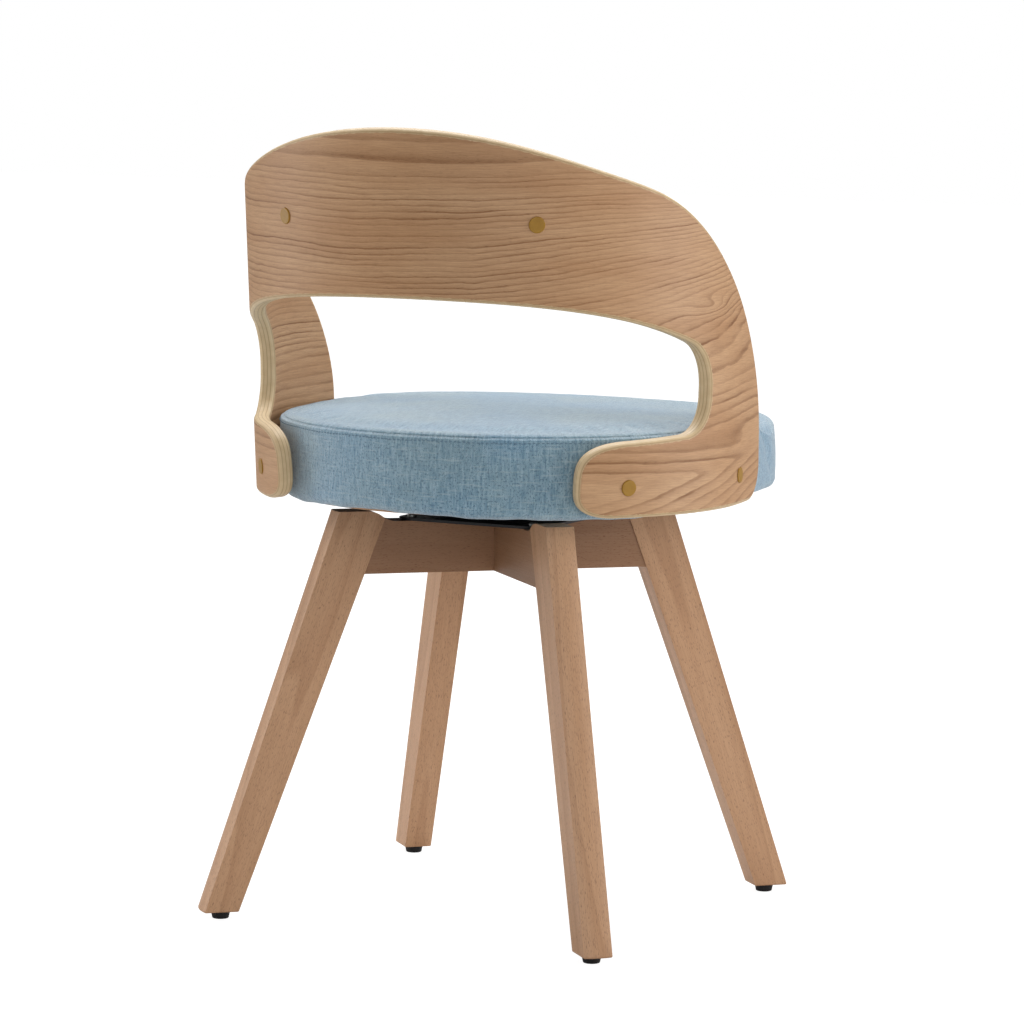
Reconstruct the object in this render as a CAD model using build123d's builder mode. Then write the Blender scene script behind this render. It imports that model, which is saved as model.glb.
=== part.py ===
from build123d import *
import os
from math import cos, pi, radians, sin

# Swivel dining chair. Millimetres, +Z up, origin on the floor under the swivel axis.
# The seat and its bent back face -Y. The four-legged base stands slightly turned under them.

os.makedirs("parts", exist_ok=True)

# ---------------------------------------------------------------- driving dimensions
# base
base_turn = -4.2            # how far the base stands turned under the seat at rest, degrees
leg_count = 4
glide_height = 7.0
leg_thickness = 26.5
leg_top_height = 372.0
leg_top_outer = 162.7       # radius of the outer edge at the top of a leg
leg_top_inner = 115.0       # radius of the inner edge, carried up to the same height
leg_foot_outer = 286.0
leg_foot_inner = 252.4
leg_crown = 1.6             # how far the outer face of a leg bulges
leg_foot_round = 1.6
rail_drop = 9.5             # how far the rails lie below the leg tops
rail_height = 48.0
rail_thickness = 25.0
shoulder_outer = 134.0      # radius where the flat top of a leg starts to dip towards the rail
shoulder_inner = 106.0      # radius where the dip has come down to the rail
lap_clearance = 0.1
dowel_radius = 4.0
dowel_length = 50.0
dowel_spacing = 20.0
glide_circle = 266.0        # radius of the circle on which the glides stand
glide_top_r = 9.0
glide_bottom_r = 7.4
glide_rim_round = 1.2
nail_r = 1.3
nail_length = 18.0
nail_head_r = 3.6
nail_head_t = 1.2

# swivel
plate_side = 148.0
plate_corner_r = 12.0
plate_t = 2.5
swivel_height = 21.5        # from the rail tops to the top of the upper plate
dish_r = 70.0
dish_rise = 6.5
dish_wall_run = 6.0         # how far the dish wall leans inwards
race_r = 54.0
ball_r = 3.0
ball_count = 26
cage_t = 1.2
cage_half_width = 7.0
pivot_r = 15.0
pivot_hollow_r = 11.0
pivot_flange_r = 22.0
pivot_flange_t = 1.6
pivot_rolled_r = 18.5
pivot_rolled_t = 1.4
washer_t = 1.2
plate_screw_circle = 88.0   # radius at which the lower plate is screwed to the rails
plate_screw_r = 2.25
plate_screw_length = 26.0
plate_screw_head_r = 4.4
plate_screw_head_t = 2.6
plate_bolt_circle = 88.0    # radius at which the upper plate is bolted to the seat board
plate_bolt_r = 3.0
plate_bolt_head_r = 5.2
plate_bolt_head_t = 3.4

# seat
seat_gap = 6.0              # between the side of the seat and the bent back
seat_depth = 464.0
seat_front_bow = 700.0      # radius of the bowed front edge
seat_corner_r = 97.0
dust_cover_t = 0.8
dust_cover_margin = 16.0
board_t = 12.0
rim_height = 34.0
rim_width = 22.0
side_padding = 9.0
band_height = 70.2          # from the underside of the seat board to the sewn edge
crown_rise = 11.4
crown_dome_r = 4000.0       # radius of the dome over the seat
crown_behind = 34.0         # how far the top of the dome lies behind the swivel axis
crown_rim_round = 9.0
cover_lower_round = 7.5

# bent back, with heights above the underside of the seat board
shell_radius = 227.0        # outer face
shell_t = 15.0
shell_centre = 0.6          # centre of the bend behind the swivel axis, at the seat board
shell_lean = 0.11           # how far the shell leans back for each unit of height
arm_toe_in = 4.2            # how far the arms close towards the front, degrees
arm_run = 130.0             # straight length of the sides before they are trimmed
arm_guides = [1, 0.6, 0.25]  # shares of it at which the plan's spline is held straight
bend_steps = 24             # points that guide the spline round the bend
shell_edge_round = 4.5
shell_bottom = 0.7
back_top = 340.5
back_bottom = 191.8
back_top_fall = 0.38        # slope of the top edge as it leaves the middle of the back, seen from the side
back_bottom_fall = 0.15     # the same for the lower edge of the back
arm_front_bearing = 112.0   # bearings are degrees round the bend, counted from the rear
arm_front_height = 55.0     # below this the front edge of the arm is straight
arm_front_round = 34.0
arm_rear_bearing = 79.3
arm_rear_height = 142.5
opening_middle_bearing = 55.0
opening_middle_height = 173.0
opening_round = 45.0
lug_arm_round = 33.0
lug_end_bearing = 39.3
lug_end_height = 30.0
lug_top_bearing = 52.5
lug_top_height = 68.0
lug_bottom_bearing = 48.8
lug_top_fall = 5.0          # how much lower the top of the lug is at its end than at the arm
lug_top_slope = 0.05        # slope of the top of the lug where its end begins to round

# fasteners of the back
lug_bolt_height = 28.2
lug_bolt_bearings = [51.9, 93.5]
back_screw_height = 260.2
back_screw_bearing = 31.8
bolt_r = 3.0
bolt_head_r = 5.0
bolt_head_t = 4.0
counterbore_r = 5.6
counterbore_depth = 5.0
cap_r = 7.3
cap_t = 1.2
cap_spigot_t = 0.8
spacer_r = 9.0
tee_flange_r = 9.0
tee_flange_t = 1.5
tee_barrel_r = 4.2
tee_barrel_length = 8.0
lug_tee_depth = 47.5        # from the outer face of the shell to the tee nut's flange
back_tee_barrel_length = 4.0

# back pad
pad_t = 26.0
pad_board_t = 5.0
pad_bearing = 50.6          # where the ends of the pad lie on the bend, degrees from the rear
pad_top = 321.0
pad_bottom = 204.0
pad_side_top = 277.0
pad_side_bottom = 212.0
pad_corner_r = 16.0
pad_round = 9.0
pad_board_inset = 10.0

# clearances
fit = 0.05                  # radial clearance of pins in their holes
air = 0.3                   # gap between pieces that turn past each other
glue_gap = 0.2              # gap between the shell and the back pad
overshoot = 0.1             # share by which working shapes reach past what they cut or carry

# ---------------------------------------------------------------- levels and derived sizes
rail_top_height = leg_top_height - rail_drop
rail_bottom_height = rail_top_height - rail_height
rail_middle_height = rail_top_height - rail_height / 2
lower_plate_top = rail_top_height + plate_t
lower_dish_top = lower_plate_top + dish_rise
upper_plate_top = rail_top_height + swivel_height
ball_height = rail_top_height + swivel_height / 2
seat_base = upper_plate_top + dust_cover_t
board_top = seat_base + board_t
seam_height = seat_base + band_height
seat_half_width = shell_radius - shell_t - seat_gap
seat_front = seat_depth - seat_half_width
dowel_heights = [rail_middle_height + side * dowel_spacing / 2 for side in (-1, 1)]
diagonal_angles = [45 + base_turn + 360 / leg_count * i for i in range(leg_count)]
corner_names = ["rear_left", "rear_right", "front_right", "front_left"]
BOTTOM = (Align.CENTER, Align.CENTER, Align.MIN)
TOP = (Align.CENTER, Align.CENTER, Align.MAX)


# ---------------------------------------------------------------- helpers
def write(piece, name):
    piece.part.label = name
    export_step(piece.part, "parts/" + name + ".step")


def write_turned(piece, name, angle):
    """Write a copy of a piece turned about the swivel axis."""
    with BuildPart() as copy:
        add(piece.part, rotation=(0, 0, angle))
    write(copy, name)


def leg_radius(z, top, foot):
    """Radius at height z on a leg edge that runs straight from top to foot."""
    share = (leg_top_height - z) / (leg_top_height - glide_height)
    return top + share * (foot - top)


def leg_inner_radius(z):
    return leg_radius(z, leg_top_inner, leg_foot_inner)


# ---------------------------------------------------------------- base: legs and rails
with BuildSketch(Plane.XZ) as above_shoulder:
    over = leg_top_height + 20
    middle = Vector(shoulder_outer + shoulder_inner, leg_top_height + rail_top_height) / 2
    with BuildLine():
        dip = TangentArc((shoulder_outer, leg_top_height), middle, tangent=(-1, 0))
        rise = TangentArc(middle, (shoulder_inner, rail_top_height), tangent=dip % 1)
        Polyline(
            rise @ 1,
            (-shoulder_inner, rail_top_height),
            (-shoulder_inner, over),
            (shoulder_outer, over),
            dip @ 0,
        )
    make_face()
    mirror(about=Plane.YZ)

with BuildPart() as leg:
    with BuildSketch(Plane.XZ):
        Polygon(
            (leg_top_outer, leg_top_height),
            (leg_foot_outer, glide_height),
            (leg_foot_inner, glide_height),
            (leg_top_inner, leg_top_height),
            align=None,
        )
        add(above_shoulder.sketch_local, mode=Mode.SUBTRACT)
    extrude(amount=leg_thickness / 2, both=True)
    # the outer face bulges between its two arrises
    down_the_leg = Vector(leg_foot_outer - leg_top_outer, 0, glide_height - leg_top_height)
    along = down_the_leg.normalized()
    crown_plane = Plane(
        origin=Vector(leg_top_outer, 0, leg_top_height) - along * leg_thickness,
        x_dir=(0, 1, 0),
        z_dir=along,
    )
    with BuildSketch(crown_plane):
        half = leg_thickness / 2
        deep = 4 * leg_thickness
        with BuildLine():
            bulge = ThreePointArc((-half, -leg_crown), (0, 0), (half, -leg_crown))
            Polyline(bulge @ 1, (half, -deep), (-half, -deep), bulge @ 0)
        make_face()
    extrude(amount=down_the_leg.length + 2 * leg_thickness, mode=Mode.INTERSECT)
    fillet(leg.edges().group_by(Axis.Z)[0], radius=leg_foot_round)
    for height in dowel_heights:
        with Locations(Plane((leg_inner_radius(height), 0, height), z_dir=(1, 0, 0))):
            Cylinder(dowel_radius + fit, dowel_length + 1, mode=Mode.SUBTRACT)
    with Locations((glide_circle, 0, glide_height)):
        Cylinder(nail_r + fit, 2 * nail_length, mode=Mode.SUBTRACT)

with BuildPart() as glide:
    with BuildSketch(Plane.XZ):
        Polygon(
            (0, 0),
            (glide_bottom_r, 0),
            (glide_top_r, glide_height),
            (0, glide_height),
            align=None,
        )
    revolve(axis=Axis.Z)
    fillet(glide.edges().group_by(Axis.Z)[0], radius=glide_rim_round)
    with Locations((0, 0, glide_height)):
        Cylinder(nail_head_r + fit, nail_head_t, align=TOP, mode=Mode.SUBTRACT)

with BuildPart() as nail:
    with Locations((0, 0, glide_height - nail_head_t)):
        Cylinder(nail_head_r, nail_head_t, align=BOTTOM)
        Cylinder(nail_r, nail_length, align=BOTTOM)

for corner, angle in zip(corner_names, diagonal_angles):
    write_turned(leg, "leg_" + corner, angle)
    with BuildPart() as standing_glide:
        with PolarLocations(glide_circle, 1, start_angle=angle):
            add(glide.part)
    write(standing_glide, "glide_" + corner)

with BuildPart() as glide_nails:
    with PolarLocations(glide_circle, leg_count, start_angle=diagonal_angles[0]):
        add(nail.part)
write(glide_nails, "glide_nails")

with BuildPart() as plain_rail:
    rail_end = leg_inner_radius(rail_bottom_height)
    with BuildSketch(Plane.XZ):
        Polygon(
            (-rail_end, rail_bottom_height),
            (rail_end, rail_bottom_height),
            (leg_top_inner, leg_top_height),
            (-leg_top_inner, leg_top_height),
            align=None,
        )
        add(above_shoulder.sketch_local, mode=Mode.SUBTRACT)
    extrude(amount=rail_thickness / 2, both=True)
    for side in (-1, 1):
        for height in dowel_heights:
            with Locations(Plane((side * leg_inner_radius(height), 0, height), z_dir=(1, 0, 0))):
                Cylinder(dowel_radius + fit, dowel_length + 1, mode=Mode.SUBTRACT)
        with Locations((side * plate_screw_circle, 0, rail_top_height)):
            Cylinder(plate_screw_r + fit, 2 * plate_screw_length, mode=Mode.SUBTRACT)

lap_width = rail_thickness + 2 * lap_clearance
for name, angle, half_removed in (
    ("cross_rail_lower", diagonal_angles[0], BOTTOM),
    ("cross_rail_upper", diagonal_angles[1], TOP),
):
    with BuildPart() as rail:
        add(plain_rail.part)
        lap_shift = lap_clearance / 2 if half_removed == TOP else -lap_clearance / 2
        with Locations((0, 0, rail_middle_height + lap_shift)):
            Box(lap_width, 2 * rail_thickness, rail_height, align=half_removed, mode=Mode.SUBTRACT)
    write_turned(rail, name, angle)

with BuildPart() as leg_dowels:
    for angle in diagonal_angles:
        outward = Vector(cos(radians(angle)), sin(radians(angle)), 0)
        for height in dowel_heights:
            joint = outward * leg_inner_radius(height) + Vector(0, 0, height)
            with Locations(Plane(joint, z_dir=outward)):
                Cylinder(dowel_radius, dowel_length)
write(leg_dowels, "leg_dowels")


# ---------------------------------------------------------------- swivel
def dished_plate(race_clearance, bore_r, hole_circle, hole_r):
    """Square pressed plate lying on the rails, with a round dish that carries half the ball race."""
    with BuildPart() as plate:
        with BuildSketch(Plane.XY.offset(rail_top_height)):
            RectangleRounded(plate_side, plate_side, plate_corner_r)
            Circle(dish_r - dish_wall_run, mode=Mode.SUBTRACT)
            with PolarLocations(hole_circle, 4, start_angle=45):
                Circle(hole_r, mode=Mode.SUBTRACT)
        extrude(amount=plate_t)
        with BuildSketch(Plane.XZ):
            Polygon(
                (dish_r, rail_top_height),
                (dish_r, lower_plate_top),
                (dish_r - dish_wall_run, lower_dish_top),
                (bore_r, lower_dish_top),
                (bore_r, lower_dish_top - plate_t),
                (dish_r - 2 * dish_wall_run, lower_dish_top - plate_t),
                (dish_r - dish_wall_run, rail_top_height),
                align=None,
            )
        revolve(axis=Axis.Z)
        with Locations((0, 0, ball_height)):
            Torus(race_r, ball_r + race_clearance, mode=Mode.SUBTRACT)
    return plate


lower_plate = dished_plate(fit, pivot_r + fit, plate_screw_circle, plate_screw_r + fit)
write_turned(lower_plate, "swivel_lower_plate", base_turn)

with BuildPart() as upper_plate:
    lower_form = dished_plate(air, pivot_r, plate_bolt_circle, plate_bolt_r + fit)
    mirror(lower_form.part, about=Plane.XY.offset(ball_height))
write(upper_plate, "swivel_upper_plate")

with BuildPart() as balls:
    with Locations((0, 0, ball_height)):
        with PolarLocations(race_r, ball_count):
            Sphere(ball_r)
write(balls, "swivel_balls")

with BuildPart() as cage:
    with BuildSketch(Plane.XY.offset(ball_height - cage_t / 2)):
        Circle(race_r + cage_half_width)
        Circle(race_r - cage_half_width, mode=Mode.SUBTRACT)
        with PolarLocations(race_r, ball_count):
            Circle(ball_r + fit, mode=Mode.SUBTRACT)
    extrude(amount=cage_t)
write(cage, "swivel_ball_cage")

washer_top = lower_dish_top - plate_t - air
flange_top = washer_top - washer_t
upper_dish_inside = upper_plate_top - (lower_dish_top - plate_t - rail_top_height)
with BuildPart() as pivot:
    with BuildSketch(Plane.XZ):
        Polygon(
            (pivot_hollow_r, flange_top - pivot_flange_t),
            (pivot_flange_r, flange_top - pivot_flange_t),
            (pivot_flange_r, flange_top),
            (pivot_r, flange_top),
            (pivot_r, upper_dish_inside),
            (pivot_rolled_r, upper_dish_inside),
            (pivot_rolled_r, upper_dish_inside + pivot_rolled_t),
            (pivot_hollow_r, upper_dish_inside + pivot_rolled_t),
            align=None,
        )
    revolve(axis=Axis.Z)
write(pivot, "swivel_pivot")

with BuildPart() as pivot_washer:
    with BuildSketch(Plane.XY.offset(flange_top)):
        Circle(pivot_flange_r)
        Circle(pivot_r + fit, mode=Mode.SUBTRACT)
    extrude(amount=washer_t)
write(pivot_washer, "swivel_washer")

with BuildPart() as plate_screws:
    with Locations((0, 0, lower_plate_top)):
        with PolarLocations(plate_screw_circle, 4, start_angle=45 + base_turn):
            Cylinder(plate_screw_r, plate_screw_length, align=TOP)
            Cylinder(plate_screw_head_r, plate_screw_head_t, align=BOTTOM)
    head_rims = plate_screws.edges().group_by(Axis.Z)[-1]
    fillet(head_rims, radius=plate_screw_head_t / 2)
write(plate_screws, "plate_screws")

upper_plate_bottom = upper_plate_top - plate_t
with BuildPart() as plate_bolts:
    with Locations((0, 0, upper_plate_bottom)):
        with PolarLocations(plate_bolt_circle, 4, start_angle=45):
            Cylinder(plate_bolt_head_r, plate_bolt_head_t, align=TOP)
            Cylinder(plate_bolt_r, board_top - upper_plate_bottom, align=BOTTOM)
    head_rims = plate_bolts.edges().group_by(Axis.Z)[0]
    fillet(head_rims, radius=plate_bolt_head_t / 3)
write(plate_bolts, "plate_bolts")


# ---------------------------------------------------------------- tee nuts
def tee_nut(plane, barrel_length):
    """Tee nut with its flange on the plane and its barrel reaching back along -Z of that plane."""
    with BuildPart() as nut:
        with BuildSketch(plane):
            Circle(tee_flange_r)
        extrude(amount=tee_flange_t)
        with BuildSketch(plane):
            Circle(tee_barrel_r)
        extrude(amount=-barrel_length)
        with BuildSketch(plane.offset(tee_flange_t)):
            Circle(bolt_r + fit)
        extrude(amount=-barrel_length - 2 * tee_flange_t, mode=Mode.SUBTRACT)
    return nut.part


def tee_pocket(plane, barrel_length, deep):
    """Room for a tee nut and for the work in front of its flange."""
    with BuildPart() as room:
        with BuildSketch(plane):
            Circle(tee_flange_r + fit)
        extrude(amount=deep)
        with BuildSketch(plane):
            Circle(tee_barrel_r + fit)
        extrude(amount=-barrel_length - fit)
    return room.part


# ---------------------------------------------------------------- seat
with BuildSketch() as seat_plan:
    bow_depth = seat_front_bow - (seat_front_bow**2 - seat_half_width**2) ** 0.5
    side_end = bow_depth - seat_front
    with BuildLine():
        rear = CenterArc((0, 0), seat_half_width, 0, 180)
        side_line = Line(rear @ 1, (-seat_half_width, side_end))
        front = ThreePointArc(side_line @ 1, (0, -seat_front), (seat_half_width, side_end))
        Line(front @ 1, rear @ 0)
    make_face()
    fillet(seat_plan.vertices().group_by(Axis.Y)[0], radius=seat_corner_r)


def seat_slab(height, thickness, inset, hollow_inset=None):
    """Slab of the seat's plan, drawn in by inset and hollow inside hollow_inset."""
    with BuildPart() as slab:
        with BuildSketch(Plane.XY.offset(height)):
            add(seat_plan.sketch)
            offset(amount=-inset, mode=Mode.REPLACE)
        extrude(amount=thickness)
        if hollow_inset is not None:
            with BuildSketch(Plane.XY.offset(height)):
                add(seat_plan.sketch)
                offset(amount=-hollow_inset, mode=Mode.REPLACE)
            extrude(amount=thickness, mode=Mode.SUBTRACT)
    return slab.part


plate_hole_places = PolarLocations(plate_bolt_circle, 4, start_angle=45).locations
board_blank = seat_slab(seat_base, board_t, side_padding)
rim_blank = seat_slab(board_top, rim_height, side_padding, side_padding + rim_width)
board_tee_planes = [
    Plane((place.position.X, place.position.Y, board_top - tee_flange_t))
    for place in plate_hole_places
]

with BuildPart() as seat_board:
    add(board_blank)
    for plane in board_tee_planes:
        add(tee_pocket(plane, board_t, 2 * tee_flange_t), mode=Mode.SUBTRACT)
write(seat_board, "seat_board")

with BuildPart() as plate_tee_nuts:
    for plane in board_tee_planes:
        add(tee_nut(plane, tee_barrel_length))
write(plate_tee_nuts, "plate_tee_nuts")

with BuildPart() as dust_cover:
    add(seat_slab(upper_plate_top, dust_cover_t, dust_cover_margin))
    with Locations((0, 0, upper_plate_top)):
        with PolarLocations(plate_bolt_circle, 4, start_angle=45):
            Cylinder(plate_bolt_r + fit, 2 * dust_cover_t + 1, mode=Mode.SUBTRACT)
write(dust_cover, "seat_dust_cover")


# ---------------------------------------------------------------- bent back
def centre_behind(height):
    """How far the centre of the bend lies behind the swivel axis, at a height above the seat board."""
    return shell_centre + shell_lean * height


def side_point(bearing, height):
    """Point of the outer face seen from the side: (Y, Z)."""
    return (
        centre_behind(height) + shell_radius * cos(radians(bearing)),
        seat_base + height,
    )


def face_plane(side, bearing, height):
    """Plane on the outer face of the bend, with Z straight out of the wood. side is -1 or 1."""
    across = side * sin(radians(bearing))
    back = cos(radians(bearing))
    middle = Vector(0, centre_behind(height), seat_base + height)
    return Plane(
        origin=middle + Vector(across, back, 0) * shell_radius,
        x_dir=(-back, across, 0),
        z_dir=(across, back, -shell_lean * back),
    )


def lay_bend(radius):
    """Closed plan of the bend and its straight arms at one radius, for an open sketch."""
    toe = radians(arm_toe_in)
    ahead = Vector(-sin(toe), -cos(toe))
    turns = [(step / bend_steps - 0.5) * (pi + 2 * toe) for step in range(bend_steps + 1)]
    bend = [Vector(sin(turn), cos(turn)) * radius for turn in turns]
    right = [bend[-1] + ahead * arm_run * share for share in reversed(arm_guides)]
    left = [Vector(-point.X, point.Y) for point in reversed(right)]
    walls = Spline(*left, *bend, *right, tangents=[(-sin(toe), cos(toe)), ahead])
    Line(walls @ 1, walls @ 0)


lean_direction = Vector(0, shell_lean, 1)
column_length = (1 + 2 * overshoot) * back_top * lean_direction.length
column_base = -overshoot * back_top
column_start = Vector(0, centre_behind(column_base), seat_base + column_base)


def column(radius):
    """Leaning column whose walls are the bend at one radius."""
    with BuildPart() as solid:
        with BuildSketch(Plane(column_start)):
            with BuildLine():
                lay_bend(radius)
            make_face()
        extrude(amount=column_length, dir=lean_direction)
    return solid.part


arm_front_y = side_point(arm_front_bearing, arm_front_height)[0]
arm_rear_y = side_point(arm_rear_bearing, arm_rear_height)[0]
behind_y = shell_radius * (1 + 2 * overshoot)
top_middle = side_point(0, back_top)
bottom_middle = side_point(0, back_bottom)
top_behind = (behind_y, top_middle[1] + (behind_y - top_middle[0]) * back_top_fall)
# bearing and height of the top edge between the middle of the back and the arm's front edge
top_edge = [(30, 326), (51, 302.6), (65, 284.5), (78.5, 253.5), (89, 220), (103, 168), (111.2, 108)]

with BuildPart() as back_outline:
    with BuildSketch(Plane.YZ) as side_view:
        with BuildLine():
            crest = Spline(
                top_behind,
                *[side_point(bearing, height) for bearing, height in top_edge],
                (arm_front_y, seat_base + arm_front_height),
                tangents=[(-1, -back_top_fall), (0, -1)],
            )
            arm_front = Line(crest @ 1, (arm_front_y, seat_base + shell_bottom))
            lug_bottom = Line(arm_front @ 1, side_point(lug_bottom_bearing, shell_bottom))
            lug_end = Spline(
                lug_bottom @ 1,
                side_point(lug_end_bearing, lug_end_height),
                side_point(lug_top_bearing, lug_top_height),
                tangents=[(1, 0), (-1, lug_top_slope)],
            )
            lug_top = Line(lug_end @ 1, (arm_rear_y, seat_base + lug_top_height + lug_top_fall))
            arm_rear = Line(lug_top @ 1, (arm_rear_y, seat_base + arm_rear_height))
            opening = ThreePointArc(
                arm_rear @ 1,
                side_point(opening_middle_bearing, opening_middle_height),
                (behind_y, bottom_middle[1] + (behind_y - bottom_middle[0]) * back_bottom_fall),
            )
            Line(opening @ 1, crest @ 0)
        make_face()
        front_corner = side_view.vertices().sort_by(Axis.Y)[:2].sort_by(Axis.X)[0]
        fillet(front_corner, radius=arm_front_round)
        low_corner = side_view.vertices().sort_by_distance((arm_rear_y, seat_base + lug_top_height))[0]
        fillet(low_corner, radius=lug_arm_round)
        high_corner = side_view.vertices().sort_by_distance((arm_rear_y, seat_base + arm_rear_height))[0]
        fillet(high_corner, radius=opening_round)
    extrude(amount=1.5 * shell_radius, both=True)

outer_wall = column(shell_radius).faces().sort_by(Axis.Y)[-1]
with BuildPart() as back_shell:
    thicken(outer_wall & back_outline.part, amount=-shell_t)
    outline_edges = back_shell.edges().filter_by(lambda edge: abs(edge.length - shell_t) > 1)
    fillet(outline_edges, radius=shell_edge_round)

lug_planes = [
    face_plane(side, bearing, lug_bolt_height) for bearing in lug_bolt_bearings for side in (-1, 1)
]
back_planes = [face_plane(side, back_screw_bearing, back_screw_height) for side in (-1, 1)]


def peg(plane, radius, start, end):
    """Round bar square to the wood, from one depth to another below the outer face."""
    with BuildPart() as bar:
        with BuildSketch(plane.offset(-start)):
            Circle(radius)
        extrude(amount=start - end)
    return bar.part


with BuildPart() as drilled_shell:
    add(back_shell.part)
    for plane in lug_planes + back_planes:
        add(peg(plane, bolt_r + fit, -shell_t, 2 * shell_t), mode=Mode.SUBTRACT)
        add(peg(plane, counterbore_r, -shell_t, counterbore_depth), mode=Mode.SUBTRACT)
write(drilled_shell, "back_shell")

with BuildPart() as seat_rim:
    add(rim_blank)
    for plane in lug_planes:
        add(peg(plane, bolt_r + fit, 0, 2 * lug_tee_depth), mode=Mode.SUBTRACT)
        seat_plane = Plane(plane.offset(-lug_tee_depth).origin, z_dir=-plane.z_dir)
        add(tee_pocket(seat_plane, tee_barrel_length, rim_width), mode=Mode.SUBTRACT)
write(seat_rim, "seat_rim")

lug_tee_end = lug_tee_depth + tee_flange_t
with BuildPart() as lug_tee_nuts:
    for plane in lug_planes:
        seat_plane = Plane(plane.offset(-lug_tee_depth).origin, z_dir=-plane.z_dir)
        add(tee_nut(seat_plane, tee_barrel_length))
write(lug_tee_nuts, "lug_tee_nuts")

with BuildPart() as lug_bolts:
    for plane in lug_planes:
        add(peg(plane, bolt_head_r, counterbore_depth - bolt_head_t, counterbore_depth))
        add(peg(plane, bolt_r, counterbore_depth, lug_tee_end))
write(lug_bolts, "lug_bolts")

filled_rim = seat_slab(board_top - board_t, rim_height + 2 * board_t, side_padding)
with BuildPart() as lug_spacers:
    for plane in lug_planes:
        add(peg(plane, spacer_r, shell_t / 2, lug_tee_depth))
    add(back_shell.part, mode=Mode.SUBTRACT)
    add(filled_rim, mode=Mode.SUBTRACT)
    for plane in lug_planes:
        add(peg(plane, bolt_r + fit, 0, 2 * lug_tee_depth), mode=Mode.SUBTRACT)
write(lug_spacers, "lug_spacers")

with BuildPart() as seat_cushion:
    add(seat_slab(seat_base, band_height + crown_rise, 0))
    with Locations((0, crown_behind, seam_height + crown_rise - crown_dome_r)):
        Sphere(crown_dome_r, mode=Mode.INTERSECT)
    fillet(seat_cushion.faces().sort_by(Axis.Z)[-1].edges(), radius=crown_rim_round)
    fillet(seat_cushion.faces().sort_by(Axis.Z)[0].edges(), radius=cover_lower_round)
    add(board_blank, mode=Mode.SUBTRACT)
    add(rim_blank, mode=Mode.SUBTRACT)
    for plane in lug_planes:
        add(peg(plane, spacer_r + fit, 0, lug_tee_depth - rim_width / 2), mode=Mode.SUBTRACT)
write(seat_cushion, "seat_cushion")


# ---------------------------------------------------------------- back pad
def pad_piece(inset, thickness):
    """Slice of the bend, laid against the inside of the shell, with the pad's outline drawn in by inset."""
    outer_r = shell_radius - shell_t - glue_gap
    half = outer_r * sin(radians(pad_bearing))
    turn = radians(pad_bearing) - inset / outer_r
    reach = 2 * outer_r
    side_low = seat_base + pad_side_bottom + inset
    side_high = seat_base + pad_side_top - inset
    with BuildPart() as bent_slice:
        add(column(outer_r))
        add(column(outer_r - thickness), mode=Mode.SUBTRACT)
        with BuildSketch(Plane.XZ):
            with BuildLine():
                top = ThreePointArc(
                    (-half, side_high), (0, seat_base + pad_top - inset), (half, side_high)
                )
                right = Line(top @ 1, (half, side_low))
                bottom = ThreePointArc(
                    right @ 1, (0, seat_base + pad_bottom + inset), (-half, side_low)
                )
                Line(bottom @ 1, top @ 0)
            make_face()
        extrude(amount=-reach, mode=Mode.INTERSECT)
        # the ends of the pad point at the middle of the bend
        with BuildSketch(Plane(column_start)):
            Polygon(
                (0, 0),
                (reach * sin(turn), reach * cos(turn)),
                (-reach * sin(turn), reach * cos(turn)),
                align=None,
            )
        extrude(amount=column_length, dir=lean_direction, mode=Mode.INTERSECT)
        ends = bent_slice.edges().filter_by(lambda edge: edge.length < 1.1 * thickness)
        fillet(ends, radius=pad_corner_r - inset)
    return bent_slice.part


pad_board_blank = pad_piece(pad_board_inset, pad_board_t)
back_tee_depth = shell_t + glue_gap + pad_board_t
back_tee_planes = [
    Plane(plane.offset(-back_tee_depth).origin, z_dir=-plane.z_dir) for plane in back_planes
]
with BuildPart() as pad_board:
    add(pad_board_blank)
    for plane in back_tee_planes:
        add(tee_pocket(plane, 2 * pad_board_t, pad_board_t), mode=Mode.SUBTRACT)
write(pad_board, "back_pad_board")

with BuildPart() as back_tee_nuts:
    for plane in back_tee_planes:
        add(tee_nut(plane, back_tee_barrel_length))
write(back_tee_nuts, "back_tee_nuts")

with BuildPart() as back_screws:
    for plane in back_planes:
        add(peg(plane, bolt_head_r, counterbore_depth - bolt_head_t, counterbore_depth))
        add(peg(plane, bolt_r, counterbore_depth, back_tee_depth + tee_flange_t))
write(back_screws, "back_screws")

with BuildPart() as back_pad:
    add(pad_piece(0, pad_t))
    front_face = back_pad.faces().sort_by(SortBy.AREA)[-2:].sort_by(SortBy.AREA)[0]
    fillet(front_face.edges(), radius=pad_round)
    add(pad_board_blank, mode=Mode.SUBTRACT)
    for plane in back_tee_planes:
        add(tee_pocket(plane, 2 * pad_board_t, 2 * tee_flange_t), mode=Mode.SUBTRACT)
write(back_pad, "back_pad")

with BuildPart() as screw_cap:
    Cylinder(cap_r, cap_t, align=BOTTOM)
    fillet(screw_cap.edges().group_by(Axis.Z)[-1], radius=cap_t * 0.7)
    Cylinder(counterbore_r - fit, cap_spigot_t, align=TOP)
with BuildPart() as screw_caps:
    for plane in lug_planes + back_planes:
        with Locations(plane):
            add(screw_cap.part)
write(screw_caps, "screw_caps")
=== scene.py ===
"""Looks of the swivel dining chair: veneer, beech, woven cloth, seams and light. Metres."""
import math

import bpy
from mathutils import Matrix, Vector


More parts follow.
